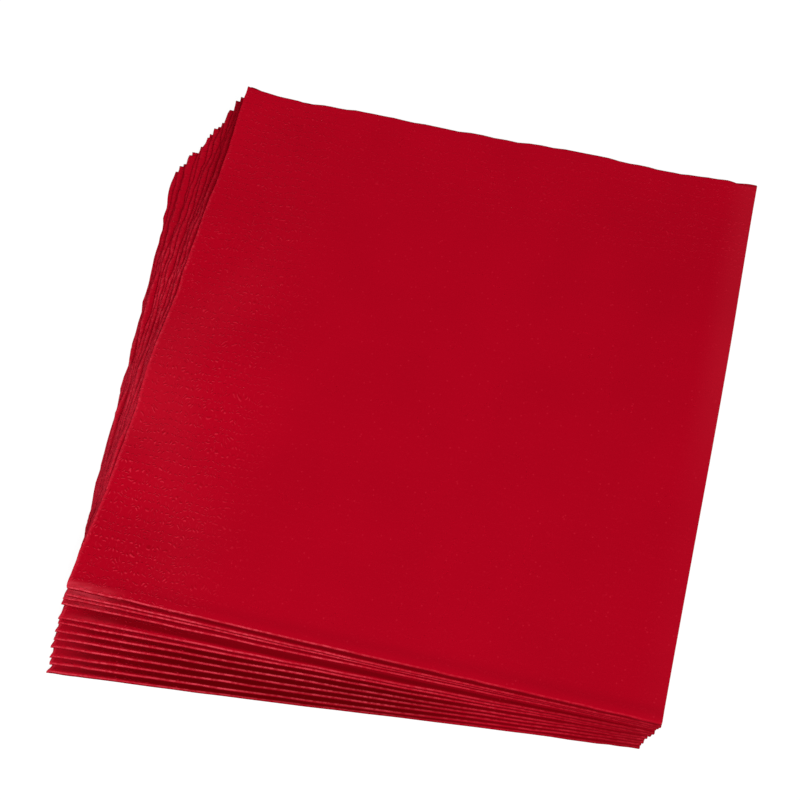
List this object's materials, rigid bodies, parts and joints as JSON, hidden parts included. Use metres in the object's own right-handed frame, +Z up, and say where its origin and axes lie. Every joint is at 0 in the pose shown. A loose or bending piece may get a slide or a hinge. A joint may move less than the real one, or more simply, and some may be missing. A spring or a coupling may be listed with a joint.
{
  "type": "stack of paper napkins",
  "caption": "Slightly fanned stack of plain quarter-folded tissue napkins, with rounded folds at the front and right and open edges at the back and left.",
  "frame": {"origin": "centre of the bottom napkin's underside, on the surface that the stack rests on", "axes": "+Z up out of the stack; X along the bottom napkin's front fold, towards its closed corner; Y from the front fold to the open edges at the back"},
  "size_m": [0.2282, 0.2289, 0.0224],
  "materials": {
    "napkin_paper": "matte dyed tissue with a fine embossed border"
  },
  "bodies": {
    "root": {"napkin_01": "napkin_paper", "napkin_02": "napkin_paper", "napkin_03": "napkin_paper", "napkin_04": "napkin_paper", "napkin_05": "napkin_paper", "napkin_06": "napkin_paper", "napkin_07": "napkin_paper", "napkin_08": "napkin_paper", "napkin_09": "napkin_paper", "napkin_10": "napkin_paper", "napkin_11": "napkin_paper", "napkin_12": "napkin_paper"}
  },
  "joints": []
}
